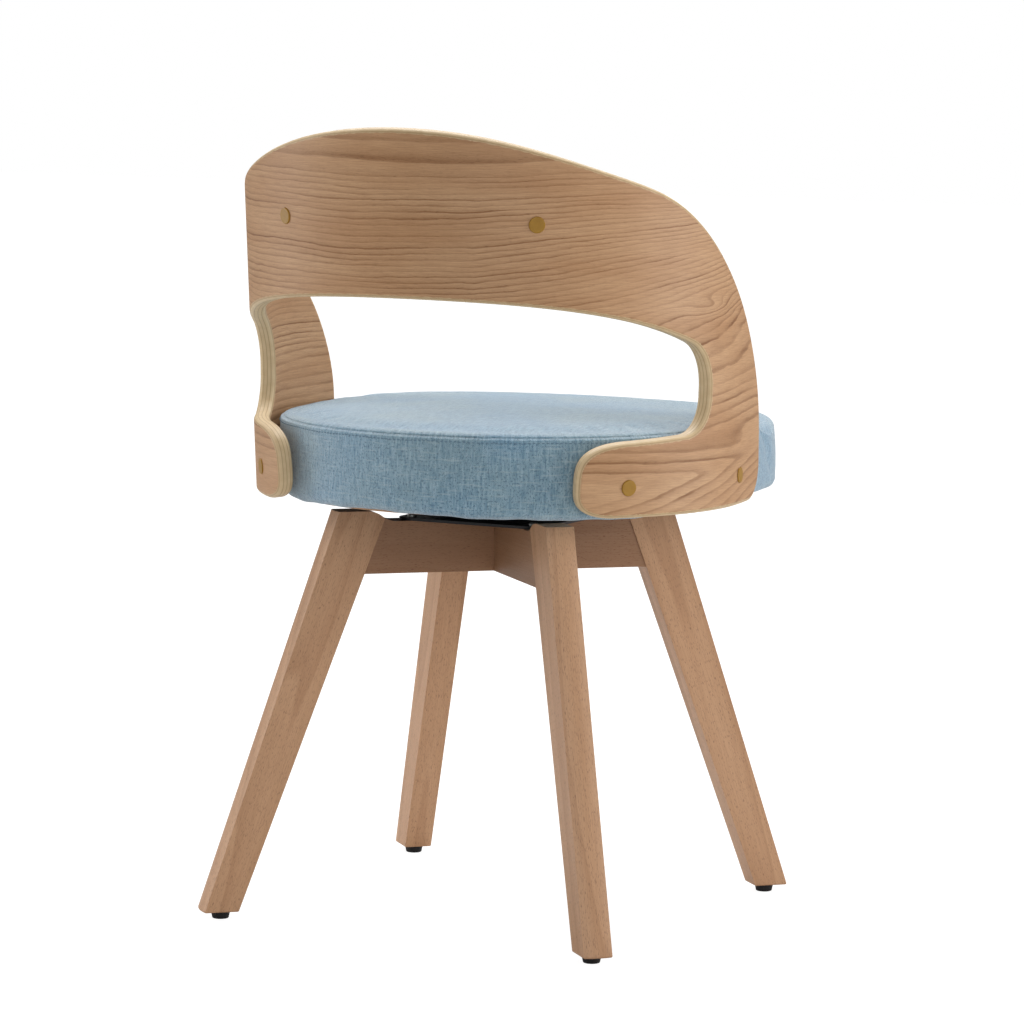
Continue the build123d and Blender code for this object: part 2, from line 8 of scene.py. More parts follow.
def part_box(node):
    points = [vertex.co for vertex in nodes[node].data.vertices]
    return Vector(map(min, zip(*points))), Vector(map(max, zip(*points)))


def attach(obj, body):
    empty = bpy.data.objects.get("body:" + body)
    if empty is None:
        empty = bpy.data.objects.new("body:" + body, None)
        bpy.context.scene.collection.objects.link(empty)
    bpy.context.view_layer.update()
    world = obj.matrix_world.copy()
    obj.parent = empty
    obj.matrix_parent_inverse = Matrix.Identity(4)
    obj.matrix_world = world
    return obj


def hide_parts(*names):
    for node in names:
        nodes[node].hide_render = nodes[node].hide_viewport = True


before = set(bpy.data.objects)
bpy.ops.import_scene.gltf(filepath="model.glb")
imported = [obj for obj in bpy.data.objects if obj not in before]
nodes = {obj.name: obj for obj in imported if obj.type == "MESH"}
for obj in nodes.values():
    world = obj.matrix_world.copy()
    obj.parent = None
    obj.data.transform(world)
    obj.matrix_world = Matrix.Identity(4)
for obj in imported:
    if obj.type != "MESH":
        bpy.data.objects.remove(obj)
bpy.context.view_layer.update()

# ---------------------------------------------------------------- sizes of the seat, the shell and the base
SEAT_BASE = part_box("seat_board")[0].z
SEAT_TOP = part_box("seat_cushion")[1].z
BAND_HEIGHT = 0.0702
SEAM_Z = SEAT_BASE + BAND_HEIGHT
SEAT_HALF = 0.206
SEAT_FRONT = 0.258
FRONT_BOW = 0.700
CORNER_R = 0.097
SHELL_R = 0.227
SHELL_T = 0.015
SHELL_CENTRE = 0.0006
SHELL_LEAN = 0.11
ARM_TOE_IN = math.radians(4.2)
BEND_END = math.pi / 2 + ARM_TOE_IN
BASE_TURN = math.radians(-4.2)

# figures of the veneer, as lengths round the bend from the middle of the back and heights over the seat board
FAN_START = 0.07
LUG_FIGURE_HEIGHT = 0.0125
LUG_FIGURE_SLOPE = 0.11
LUG_FIGURE_FOLD = 0.12
LUG_FIGURE_ROUND = 0.004
LUG_RING_SHIFT = 0.010
LOOP_RUN = 0.315
LOOP_HEIGHT = 0.1845
LOOP_REACH = 0.040
LOOP_TALL = 0.0085
LOOP_LIFT = 0.0125
WAVE_SIZE = 0.022
RIPPLE_SIZE = 0.0052
FLUTTER_SIZE = 0.0014
# rings for each metre of height, and how many more or fewer above a height
RINGS = 118.0
CLOSE_RINGS_FROM, CLOSE_RINGS_MORE = 0.12, 75.0
WIDE_RINGS_FROM, WIDE_RINGS_MORE = 0.302, -130.0
INNER_FACE_SHIFT = 3.7
PLY_PITCH = 0.115


# ---------------------------------------------------------------- colours, linear from sRGB
def srgb(red, green, blue):
    """Linear colour from 0 to 255 values."""

    def channel(value):
        share = value / 255
        return share / 12.92 if share <= 0.04045 else ((share + 0.055) / 1.055) ** 2.4

    return (channel(red), channel(green), channel(blue), 1.0)


# ---------------------------------------------------------------- small node helper
class Nodes:
    """Builds one material's node tree with short calls."""

    def __init__(self, name):
        self.material = bpy.data.materials.new(name)
        self.material.use_nodes = True
        self.tree = self.material.node_tree
        self.shader = self.tree.nodes["Principled BSDF"]
        self.place = 0

    def add(self, kind, **settings):
        node = self.tree.nodes.new(kind)
        self.place += 1
        node.location = (-180 * self.place, 0)
        for key, value in settings.items():
            setattr(node, key, value)
        return node

    def put(self, socket, value):
        """Link a socket to the input, or write a constant there."""
        if isinstance(value, bpy.types.NodeSocket):
            self.tree.links.new(value, socket)
        else:
            socket.default_value = value

    def math(self, operation, first, second=None, third=None, clamp=False):
        node = self.add("ShaderNodeMath", operation=operation, use_clamp=clamp)
        for socket, value in zip(node.inputs, (first, second, third)):
            if value is not None:
                self.put(socket, value)
        return node.outputs[0]

    def coordinates(self):
        return self.add("ShaderNodeTexCoord").outputs["Object"]

    def uv(self):
        return self.add("ShaderNodeTexCoord").outputs["UV"]

    def split(self, vector):
        node = self.add("ShaderNodeSeparateXYZ")
        self.put(node.inputs[0], vector)
        return node.outputs[0], node.outputs[1], node.outputs[2]

    def join(self, x, y, z=0.0):
        node = self.add("ShaderNodeCombineXYZ")
        for socket, value in zip(node.inputs, (x, y, z)):
            self.put(socket, value)
        return node.outputs[0]

    def mapped(self, vector, scale=(1, 1, 1), rotation=(0, 0, 0), location=(0, 0, 0)):
        node = self.add("ShaderNodeMapping")
        self.put(node.inputs["Vector"], vector)
        node.inputs["Scale"].default_value = scale
        node.inputs["Rotation"].default_value = rotation
        node.inputs["Location"].default_value = location
        return node.outputs[0]

    def noise(self, vector, scale=1.0, detail=2.0, roughness=0.5, distortion=0.0):
        node = self.add("ShaderNodeTexNoise")
        self.put(node.inputs["Vector"], vector)
        node.inputs["Scale"].default_value = scale
        node.inputs["Detail"].default_value = detail
        node.inputs["Roughness"].default_value = roughness
        node.inputs["Distortion"].default_value = distortion
        return node.outputs["Fac"]

    def ramp(self, value, stops, interpolation="LINEAR"):
        """Colour ramp from (place, colour) stops. A number stands for a grey."""
        node = self.add("ShaderNodeValToRGB")
        node.color_ramp.interpolation = interpolation
        elements = node.color_ramp.elements
        while len(elements) < len(stops):
            elements.new(0.5)
        for element, (place, colour) in zip(elements, stops):
            element.position = place
            element.color = colour if isinstance(colour, tuple) else (colour, colour, colour, 1)
        self.put(node.inputs[0], value)
        return node.outputs[0]

    def mix(self, share, first, second, blend="MIX"):
        node = self.add("ShaderNodeMix", data_type="RGBA", blend_type=blend)
        self.put(node.inputs[0], share)
        self.put(node.inputs[6], first)
        self.put(node.inputs[7], second)
        return node.outputs[2]

    def bump(self, height, distance, strength=1.0, normal=None):
        node = self.add("ShaderNodeBump")
        self.put(node.inputs["Height"], height)
        node.inputs["Distance"].default_value = distance
        node.inputs["Strength"].default_value = strength
        if normal is not None:
            self.put(node.inputs["Normal"], normal)
        return node.outputs[0]

    def finish(self, colour, roughness, normal=None, **constants):
        self.put(self.shader.inputs["Base Color"], colour)
        self.put(self.shader.inputs["Roughness"], roughness)
        if normal is not None:
            self.put(self.shader.inputs["Normal"], normal)
        for key, value in constants.items():
            self.shader.inputs[key.replace("_", " ")].default_value = value
        return self.material


# ---------------------------------------------------------------- wood
def bend_coordinates(n):
    """Metres round the bent shell, height, depth under its outer face, and how squarely the surface faces."""
    x, y, z = n.split(n.coordinates())
    height = n.math("SUBTRACT", z, SEAT_BASE)
    behind = n.math("MULTIPLY_ADD", height, -SHELL_LEAN, n.math("SUBTRACT", y, SHELL_CENTRE))
    bearing = n.math("ARCTAN2", x, behind)
    round_it = n.math("MULTIPLY", bearing, SHELL_R)
    radius = n.math("SQRT", n.math("ADD", n.math("MULTIPLY", x, x), n.math("MULTIPLY", behind, behind)))
    # past the end of the bend the arm is flat
    across = n.math("ABSOLUTE", x)
    to_arm = n.math(
        "MULTIPLY_ADD", across, math.sin(BEND_END), n.math("MULTIPLY", behind, math.cos(BEND_END))
    )
    along = n.math(
        "MULTIPLY_ADD", across, math.cos(BEND_END), n.math("MULTIPLY", behind, -math.sin(BEND_END))
    )
    is_arm = n.math("GREATER_THAN", along, 0.0)
    distance = n.math("MULTIPLY_ADD", n.math("SUBTRACT", to_arm, radius), is_arm, radius)
    # how squarely the surface faces out of or into the bend
    out_x = n.math("DIVIDE", x, radius)
    out_y = n.math("DIVIDE", behind, radius)
    arm_x = n.math("MULTIPLY", n.math("SIGN", x), math.sin(BEND_END))
    out_x = n.math("MULTIPLY_ADD", n.math("SUBTRACT", arm_x, out_x), is_arm, out_x)
    out_y = n.math("MULTIPLY_ADD", n.math("SUBTRACT", math.cos(BEND_END), out_y), is_arm, out_y)
    outward = n.add("ShaderNodeVectorMath", operation="NORMALIZE")
    n.put(outward.inputs[0], n.join(out_x, out_y, n.math("MULTIPLY", out_y, -SHELL_LEAN)))
    facing = n.add("ShaderNodeVectorMath", operation="DOT_PRODUCT")
    n.put(facing.inputs[0], outward.outputs[0])
    n.put(facing.inputs[1], n.add("ShaderNodeTexCoord").outputs["Normal"])
    square = n.math("ABSOLUTE", facing.outputs["Value"])
    return round_it, height, n.math("SUBTRACT", SHELL_R, distance), square


def veneer():
    """Ash veneer: rings that fan out to one side, arches in the lug, a loop, and pale plies on the edges."""
    n = Nodes("ash_veneer")
    run, height, depth, square = bend_coordinates(n)
    inner = n.math("GREATER_THAN", depth, SHELL_T / 2)
    shift = n.math("MULTIPLY", inner, INNER_FACE_SHIFT)
    flat = n.join(run, height, shift)
    wave = n.math("SUBTRACT", n.noise(n.mapped(flat, scale=(3.2, 6, 1)), detail=1.0), 0.5)
    ripple = n.math("SUBTRACT", n.noise(n.mapped(flat, scale=(12, 60, 1)), detail=2.0), 0.5)
    flutter = n.math("SUBTRACT", n.noise(n.mapped(flat, scale=(60, 190, 1)), detail=1.0), 0.5)
    # the lines fan out and rise towards the arm
    towards_arm = n.math("MAXIMUM", n.math("MULTIPLY_ADD", run, -1.0, -FAN_START), 0.0)
    fan = n.ramp(height, [(0.0, 0.04), (0.12, 0.06), (0.18, 0.17), (0.23, 0.14), (0.28, 0.03), (0.34, 0.01)])
    level = n.math("MULTIPLY_ADD", n.math("MULTIPLY", towards_arm, fan), -1.0, height)
    # arches in the lug, closed towards the arm
    low = n.math("MULTIPLY_ADD", towards_arm, -LUG_FIGURE_SLOPE, height)
    low = n.math("SUBTRACT", low, LUG_FIGURE_HEIGHT)
    folded = n.math("SQRT", n.math("MULTIPLY_ADD", low, low, LUG_FIGURE_ROUND**2))
    folded = n.math("MULTIPLY_ADD", towards_arm, LUG_FIGURE_FOLD, folded)
    in_lug = n.ramp(height, [(0.052, 1.0), (0.080, 0.0)], "EASE")
    bent = n.math("SUBTRACT", n.math("ADD", folded, LUG_RING_SHIFT), level)
    level = n.math("MULTIPLY_ADD", bent, in_lug, level)
    plain = n.math("MULTIPLY", in_lug, n.ramp(folded, [(0.019, 1.0), (0.027, 0.0)]))
    # one loop above the arm
    across = n.math("DIVIDE", n.math("ADD", run, LOOP_RUN), LOOP_REACH)
    upright = n.math("DIVIDE", n.math("SUBTRACT", height, LOOP_HEIGHT), LOOP_TALL)
    away = n.math("ADD", n.math("MULTIPLY", across, across), n.math("MULTIPLY", upright, upright))
    loop = n.math("EXPONENT", n.math("MULTIPLY", away, -1.0))
    level = n.math("MULTIPLY_ADD", loop, LOOP_LIFT, level)
    level = n.math("MULTIPLY_ADD", wave, WAVE_SIZE, level)
    level = n.math("MULTIPLY_ADD", ripple, RIPPLE_SIZE, level)
    level = n.math("MULTIPLY_ADD", flutter, FLUTTER_SIZE, level)
    # rings lie closer on the back than in the lugs, and wide apart under the top edge
    rings = n.math("MULTIPLY", level, RINGS)
    for start, more in ((CLOSE_RINGS_FROM, CLOSE_RINGS_MORE), (WIDE_RINGS_FROM, WIDE_RINGS_MORE)):
        above = n.math("MAXIMUM", n.math("SUBTRACT", level, start), 0.0)
        rings = n.math("MULTIPLY_ADD", above, more, rings)
    number = n.math("FLOOR", rings)
    luck = n.add("ShaderNodeTexWhiteNoise", noise_dimensions="1D")
    n.put(luck.inputs["W"], number)
    ring = n.math("FRACT", rings)
    line = n.ramp(ring, [(0.0, 0.0), (0.06, 0.9), (0.18, 1.0), (0.34, 0.40), (0.70, 0.10), (1.0, 0.0)])
    fade = n.ramp(
        n.noise(n.mapped(flat, scale=(7, 70, 1), location=(3, 1, 0)), detail=2.0),
        [(0.32, 0.25), (0.62, 1.0)],
    )
    strength = n.math("MULTIPLY_ADD", luck.outputs["Value"], 0.70, 0.30)
    line = n.math("MULTIPLY", line, n.math("MULTIPLY", fade, strength))
    line = n.math("MULTIPLY", line, n.math("SUBTRACT", 1.0, n.math("MULTIPLY", plain, 0.85)))
    fibre = n.noise(n.mapped(flat, scale=(45, 1700, 1)), detail=3.0, roughness=0.6)
    pore = n.ramp(
        n.noise(n.mapped(flat, scale=(190, 2900, 1), location=(7, 2, 0)), detail=1.0),
        [(0.57, 0.0), (0.69, 1.0)],
    )
    pore = n.math("MULTIPLY", pore, n.math("MULTIPLY_ADD", line, 0.8, 0.2))
    cloud = n.noise(n.mapped(flat, scale=(5, 26, 1), location=(1, 5, 0)), detail=2.0)
    pale = n.mix(n.ramp(cloud, [(0.3, 0.0), (0.7, 1.0)]), srgb(210, 169, 129), srgb(192, 147, 106))
    wood = n.mix(line, pale, srgb(132, 86, 46))
    wood = n.mix(n.ramp(fibre, [(0.35, 0.0), (0.72, 0.45)]), wood, srgb(140, 98, 62))
    wood = n.mix(n.math("MULTIPLY", pore, 0.65), wood, srgb(98, 62, 34))

    ply = n.math("MULTIPLY", depth, 1 / SHELL_T)
    streak = n.noise(n.mapped(flat, scale=(120, 120, 900)), detail=2.0)
    pale_ply = n.mix(streak, srgb(226, 202, 162), srgb(204, 176, 134))
    glue_lines = n.ramp(
        n.math("PINGPONG", n.math("SUBTRACT", ply, 0.04), PLY_PITCH),
        [(0.0, 1.0), (0.014, 0.85), (0.036, 0.0)],
    )
    edge = n.mix(n.math("MULTIPLY", glue_lines, 0.6), pale_ply, srgb(160, 124, 84))
    face = n.ramp(square, [(0.950, 0.0), (0.972, 1.0)])
    colour = n.mix(face, edge, wood)

    grain = n.math("ADD", n.math("MULTIPLY", line, -0.5), n.math("MULTIPLY", pore, -1.0))
    normal = n.bump(n.math("MULTIPLY", grain, face), 0.00012)
    roughness = n.math("MULTIPLY_ADD", fibre, 0.12, 0.46)
    return n.finish(colour, roughness, normal, Specular_IOR_Level=0.35, Coat_Weight=0.08, Coat_Roughness=0.4)


def beech(name, along, painted_shade=0.0, offset=0.0):
    """Steamed beech with short dark flecks. along is the direction of the grain; the shade share darkens the
    wood towards a brown as painted shade.
    """
    n = Nodes(name)
    turn = Vector(along).normalized().to_track_quat("X", "Z").inverted().to_euler()
    place = n.mapped(n.coordinates(), rotation=tuple(turn), location=(offset, offset, offset))
    band = n.noise(n.mapped(place, scale=(3.0, 42, 42)), detail=3.0)
    grow = n.math("FRACT", n.math("MULTIPLY", n.noise(n.mapped(place, scale=(1.1, 13, 13))), 9.0))
    ring = n.ramp(grow, [(0.0, 0.0), (0.55, 0.25), (0.90, 1.0), (1.0, 0.0)])
    fleck = n.ramp(
        n.noise(n.mapped(place, scale=(280, 2100, 2100)), detail=0.0), [(0.66, 0.0), (0.73, 1.0)]
    )
    fibre = n.noise(n.mapped(place, scale=(30, 1300, 1300)), detail=2.0)
    pale = n.mix(band, srgb(214, 170, 132), srgb(188, 142, 104))
    colour = n.mix(n.math("MULTIPLY", ring, 0.38), pale, srgb(166, 118, 80))
    colour = n.mix(n.ramp(fibre, [(0.40, 0.0), (0.80, 0.30)]), colour, srgb(150, 104, 68))
    colour = n.mix(n.math("MULTIPLY", fleck, 0.6), colour, srgb(128, 86, 58))
    # painted shade: mixes the wood towards a dark brown to stand in for the shadow that falls on it
    if painted_shade:
        colour = n.mix(painted_shade, colour, srgb(112, 70, 42))
    normal = n.bump(n.math("MULTIPLY", fleck, -1.0), 0.00006)
    roughness = n.math("MULTIPLY_ADD", fibre, 0.14, 0.40)
    return n.finish(colour, roughness, normal, Coat_Weight=0.10, Coat_Roughness=0.35)


# ---------------------------------------------------------------- cloth
def woven_cloth():
    """Light blue weave with slubs that run up the sides. UV is in metres of cloth."""
    n = Nodes("blue_cloth")
    place = n.uv()
    u, v, _ = n.split(place)
    slub = n.noise(n.mapped(place, scale=(430, 60, 1)), detail=3.0, roughness=0.7)
    weft = n.noise(n.mapped(place, scale=(46, 430, 1), location=(4, 9, 0)), detail=2.0)
    speck = n.noise(n.mapped(place, scale=(620, 520, 1), location=(2, 3, 0)), detail=1.0)
    blotch = n.noise(n.mapped(place, scale=(26, 20, 1)), detail=2.0)
    patch_tone = n.noise(n.mapped(place, scale=(11, 9, 1), location=(6, 2, 0)), detail=1.0)
    warp_yarn = n.math("SINE", n.math("MULTIPLY", u, math.tau / 0.0021))
    weft_yarn = n.math("SINE", n.math("MULTIPLY", v, math.tau / 0.0016))
    weave = n.math("MULTIPLY", warp_yarn, weft_yarn)
    base = n.mix(n.ramp(slub, [(0.33, 0.0), (0.66, 1.0)]), srgb(92, 136, 166), srgb(163, 195, 212))
    base = n.mix(n.ramp(speck, [(0.55, 0.0), (0.67, 0.8)]), base, srgb(60, 98, 128))
    base = n.mix(n.ramp(weft, [(0.54, 0.0), (0.74, 0.6)]), base, srgb(186, 208, 216))
    tone = n.mix(n.ramp(patch_tone, [(0.38, 0.0), (0.62, 1.0)]), srgb(156, 174, 172), srgb(116, 160, 194))
    base = n.mix(n.math("MULTIPLY", blotch, 0.42), base, tone)
    height = n.math("MULTIPLY_ADD", weave, 0.3, n.math("MULTIPLY_ADD", slub, 1.2, speck))
    normal = n.bump(height, 0.0007, strength=0.9)
    return n.finish(base, 0.92, normal, Sheen_Weight=0.8, Sheen_Roughness=0.5, Specular_IOR_Level=0.2)


def thread():
    n = Nodes("stitch_thread")
    twist = n.noise(n.mapped(n.coordinates(), scale=(2400, 2400, 2400)))
    colour = n.mix(twist, srgb(74, 104, 126), srgb(122, 152, 172))
    return n.finish(colour, 0.7, Sheen_Weight=0.2)


def dust_cloth():
    n = Nodes("dust_cloth")
    grid = n.noise(n.mapped(n.coordinates(), scale=(900, 900, 900)), detail=2.0)
    colour = n.ramp(grid, [(0.3, srgb(10, 10, 11)), (0.75, srgb(34, 34, 36))])
    return n.finish(colour, 0.9, n.bump(grid, 0.0003))


# ---------------------------------------------------------------- metal and plastic
def coated_steel():
    n = Nodes("black_coated_steel")
    grain = n.noise(n.mapped(n.coordinates(), scale=(1400, 1400, 1400)), detail=2.0)
    colour = n.ramp(grain, [(0.3, srgb(16, 16, 17)), (0.8, srgb(34, 34, 36))])
    return n.finish(colour, 0.38, n.bump(grain, 0.00008))


def zinc(name="zinc_steel", dark=150, light=196):
    n = Nodes(name)
    spangle = n.noise(n.mapped(n.coordinates(), scale=(260, 260, 900)), detail=2.0)
    colour = n.ramp(spangle, [(0.3, srgb(dark, dark, dark - 4)), (0.75, srgb(light, light, light - 4))])
    roughness = n.math("MULTIPLY_ADD", spangle, 0.25, 0.22)
    return n.finish(colour, roughness, Metallic=1.0)


def moulded(name, low, high, roughness, grain_size=1800):
    """Moulded plastic with a fine eroded grain."""
    n = Nodes(name)
    grain = n.noise(n.mapped(n.coordinates(), scale=(grain_size,) * 3), detail=2.0)
    wear = n.noise(n.mapped(n.coordinates(), scale=(120,) * 3), detail=2.0)
    colour = n.mix(wear, low, high)
    return n.finish(colour, roughness, n.bump(grain, 0.00005))


def paint(node, material):
    """Give a CAD node a material through its object's slots."""
    thing = nodes[node]
    if not thing.material_slots:
        thing.data.materials.append(None)
    for place in thing.material_slots:
        place.link = "OBJECT"
        place.material = material


# ---------------------------------------------------------------- plan of the seat
def seat_outline(places):
    """(point, outward normal) at lengths round the D-shaped seat, which runs from +X over the rear."""
    bow_y = FRONT_BOW - SEAT_FRONT
    corner_x = SEAT_HALF - CORNER_R
    corner_y = bow_y - math.sqrt((FRONT_BOW - CORNER_R) ** 2 - corner_x**2)
    meet = math.atan2(corner_y - bow_y, -corner_x) % math.tau
    turn = meet - math.pi
    bow_turn = 3 * math.pi - 2 * meet
    # each piece: length, then centre, radius and start angle of an arc or start, end and heading of a line
    pieces = [
        (math.pi * SEAT_HALF, Vector((0, 0)), SEAT_HALF, 0.0),
        (-corner_y, Vector((-SEAT_HALF, 0)), Vector((-SEAT_HALF, corner_y)), math.pi),
        (turn * CORNER_R, Vector((-corner_x, corner_y)), CORNER_R, math.pi),
        (bow_turn * FRONT_BOW, Vector((0, bow_y)), FRONT_BOW, meet),
        (turn * CORNER_R, Vector((corner_x, corner_y)), CORNER_R, -turn),
        (-corner_y, Vector((SEAT_HALF, corner_y)), Vector((SEAT_HALF, 0)), 0.0),
    ]
    out = []
    for place in places:
        run = place
        for length, start, size, angle in pieces:
            if run <= length:
                break
            run -= length
        if isinstance(size, float):
            angle += run / size
            normal = Vector((math.cos(angle), math.sin(angle)))
            out.append((start + normal * size, normal))
        else:
            normal = Vector((math.cos(angle), math.sin(angle)))
            out.append((start + (size - start) * (run / length), normal))
    return out, sum(piece[0] for piece in pieces)


def even_places(count, total):
    return [total * k / count for k in range(count)]


# ---------------------------------------------------------------- soft pieces
def patch_rim(wide, tall):
    """Grid places along the rim of a patch, in the order of the ring that it closes."""
    rim = [(k, 0) for k in range(wide)]
    rim += [(wide, k) for k in range(tall)]
    rim += [(wide - k, tall) for k in range(wide)]
    rim += [(0, tall - k) for k in range(tall)]
    return rim


def patch(ring, wide, lift):
    """Grid of quads that closes a ring of points, wide columns along its first side.

    lift(point) sets a point inside at its real depth.
    """
    tall = len(ring) // 2 - wide
    grid = dict(zip(patch_rim(wide, tall), ring))
    for i in range(1, wide):
        for j in range(1, tall):
            u, v = i / wide, j / tall
            corners = (
                (1 - u) * (1 - v) * grid[0, 0] + u * (1 - v) * grid[wide, 0]
                + (1 - u) * v * grid[0, tall] + u * v * grid[wide, tall]
            )
            between = grid[i, 0] * (1 - v) + grid[i, tall] * v + grid[0, j] * (1 - u) + grid[wide, j] * u
            grid[i, j] = lift(between - corners)
    return grid, tall


def closed_mesh(name, rings, wide, cloth_place, flat_place, lift_low, lift_high):
    """Closed quad mesh from rings of points, its ends filled with a grid, wide columns along the first side.

    cloth_place(i, k, row) gives the UV, in metres of cloth, of ring i's column k as a face of that row
    sees it.
    flat_place(point) gives it for the two filled ends.
    """
    count = len(rings[0])
    points = [point for ring in rings for point in ring]
    faces = []
    cloth = []
    for i in range(len(rings) - 1):
        for k in range(count):
            m = (k + 1) % count
            faces.append((i * count + k, i * count + m, (i + 1) * count + m, (i + 1) * count + k))
            corners = ((i, k), (i, k + 1), (i + 1, k + 1), (i + 1, k))
            cloth.append([cloth_place(row, column, i) for row, column in corners])
    for first, ring, lift, flip in (
        (0, rings[0], lift_low, True),
        ((len(rings) - 1) * count, rings[-1], lift_high, False),
    ):
        grid, tall = patch(ring, wide, lift)
        index = {place: first + k for k, place in enumerate(patch_rim(wide, tall))}
        for i in range(1, wide):
            for j in range(1, tall):
                index[i, j] = len(points)
                points.append(grid[i, j])
        for i in range(wide):
            for j in range(tall):
                face = [index[i, j], index[i + 1, j], index[i + 1, j + 1], index[i, j + 1]]
                face = face[::-1] if flip else face
                faces.append(tuple(face))
                cloth.append([tuple(flat_place(points[corner])) for corner in face])
    mesh = bpy.data.meshes.new(name)
    mesh.from_pydata([tuple(point) for point in points], [], faces)
    layer = mesh.uv_layers.new(name="cloth")
    layer.data.foreach_set("uv", [value for face in cloth for place in face for value in place])
    mesh.shade_smooth()
    thing = bpy.data.objects.new(name, mesh)
    bpy.context.scene.collection.objects.link(thing)
    return thing


def flat_cloth(point):
    """Cloth coordinates of a piece that lies flat, in a patch of its own."""
    return (point.x + 2.0, point.y + 2.0)


def inflate(thing, held, pressure, cap, frames=20):
    """Swell a closed mesh with cloth pressure, some points held and the travel capped, and keep it."""
    group = thing.vertex_groups.new(name="held")
    group.add(sorted(held), 1.0, "REPLACE")
    start = [vertex.co.copy() for vertex in thing.data.vertices]
    modifier = thing.modifiers.new("cloth", "CLOTH")
    settings = modifier.settings
    settings.quality = 6
    settings.mass = 0.3
    settings.tension_stiffness = settings.compression_stiffness = 20
    settings.shear_stiffness = 8
    settings.bending_stiffness = 0.6
    settings.use_pressure = True
    settings.uniform_pressure_force = pressure
    settings.vertex_group_mass = "held"
    settings.effector_weights.gravity = 0
    modifier.collision_settings.use_collision = False
    modifier.point_cache.frame_start = 1
    modifier.point_cache.frame_end = frames
    scene = bpy.context.scene
    for step in range(1, frames + 1):
        scene.frame_set(step)
    done = thing.evaluated_get(bpy.context.evaluated_depsgraph_get()).data
    moved = [vertex.co.copy() for vertex in done.vertices]
    thing.modifiers.remove(modifier)
    for vertex, before, after in zip(thing.data.vertices, start, moved):
        travel = after - before
        if travel.length > cap:
            travel *= cap / travel.length
        vertex.co = before + travel
    scene.frame_set(1)
    thing.vertex_groups.remove(group)


def refine(thing):
    """One subdivision, applied to the mesh itself."""
    modifier = thing.modifiers.new("fine", "SUBSURF")
    modifier.levels = modifier.render_levels = 1
    modifier.uv_smooth = "NONE"
    mesh = bpy.data.meshes.new_from_object(thing.evaluated_get(bpy.context.evaluated_depsgraph_get()))
    thing.modifiers.remove(modifier)
    coarse = thing.data
    thing.data = mesh
    bpy.data.meshes.remove(coarse)
    mesh.shade_smooth()


def ease(value):
    """Smooth step from 0 to 1."""
    value = min(1.0, max(0.0, value))
    return value * value * (3 - 2 * value)


def waver(place, seed, *waves):
    """Gentle unevenness along a length: the sum of a few waves, each (wavelength, size)."""
    return sum(
        size * math.sin(math.tau * place / length + seed * (3 + 2 * i))
        for i, (length, size) in enumerate(waves)
    )


BAND_END_Y = -0.094      # where the sewn band ends and the top cover runs down over the front
FRONT_DIP = 0.014        # how much lower the rounding of the front begins
REAR_RIM_R = 0.0085
FRONT_RIM_R = 0.019
LOWER_EDGE_R = 0.0085
UNDERWRAP = 0.013
DOME_R = 4.0
DOME_Y = 0.034
SWELL = 0.0022           # how far the cloth may swell
SEAT_COLUMNS = 300
FRONT_EASE_START = 0.012
FRONT_EASE_RUN = 0.075
UNDER_GAP = 0.0004       # how far the turned-under cover lies below the board
HEM_LIFT = 0.0016
LOWER_TUCK = 0.0004
LOWER_TURNS = (25, 48, 68)
BAND_BULGE = 0.0006
LOWER_RINGS_HELD = 6
SEAM_CLEAR = 0.0045      # no evenly spaced column lies nearer to an upright seam
SEAM_HELD = 0.0035
SEAM_REACH = 0.004
SEAM_FADE = 0.01
SEAM_DEPTH = 0.0018
UPRIGHT_SEAM_DEPTH = 0.0012
SEAM_WIDTH = 0.0009
SIDE_REACH = 0.006
LOWER_EDGE_REACH = 0.03
LOWER_EDGE_RADIUS = 0.1  # the lower edge lies outside this radius
# swells of the lower edge: rise, bearing from the rear and width
LOWER_EDGE_SWELLS = ((0.0010, 0.10, 0.42), (-0.0030, -0.75, 0.50))
LOWER_EDGE_WAVES = ((0.19, 0.0006), (0.071, 0.0004), (0.033, 0.0002))
SEAM_NEAR = (0.0004, 0.0010, 0.0019, 0.0032)
BAND_SHARES = [0.0, 0.011, 0.026, 0.046, 0.073, 0.11, 0.16, 0.22, 0.29, 0.37, 0.45, 0.53, 0.61, 0.69,
               0.77, 0.85, 0.93, 1.0]
RIM_TURNS = [8, 17, 27, 38, 50, 62, 75, 90]
CROWN_INSETS = [0.004, 0.009, 0.015, 0.022, 0.030, 0.040, 0.052, 0.066, 0.080]


def dome(point):
    """Height of the crowned top over a place of the plan."""
    return SEAT_TOP - SWELL - (point.x**2 + (point.y - DOME_Y) ** 2) / (2 * DOME_R)


def seat_columns():
    """Lengths round the seat, close together at the two upright seams."""
    _, total = seat_outline([0.0])
    side = math.pi * SEAT_HALF
    seams = [side - BAND_END_Y, total + BAND_END_Y]
    places = [
        place
        for place in even_places(SEAT_COLUMNS, total)
        if min(abs(place - seam) for seam in seams) > SEAM_CLEAR
    ]
    for seam in seams:
        places += [seam] + [seam + way * near for way in (-1, 1) for near in SEAM_NEAR]
    places.sort()
    while len(places) % 4:
        middle = max(range(len(places) - 1), key=lambda k: places[k + 1] - places[k])
        places.insert(middle + 1, (places[middle] + places[middle + 1]) / 2)
    return places, seams, total


def front_share(point):
    """0 where the band is sewn, 1 over the rounded front."""
    return ease((BAND_END_Y + FRONT_EASE_START - point.y) / FRONT_EASE_RUN)


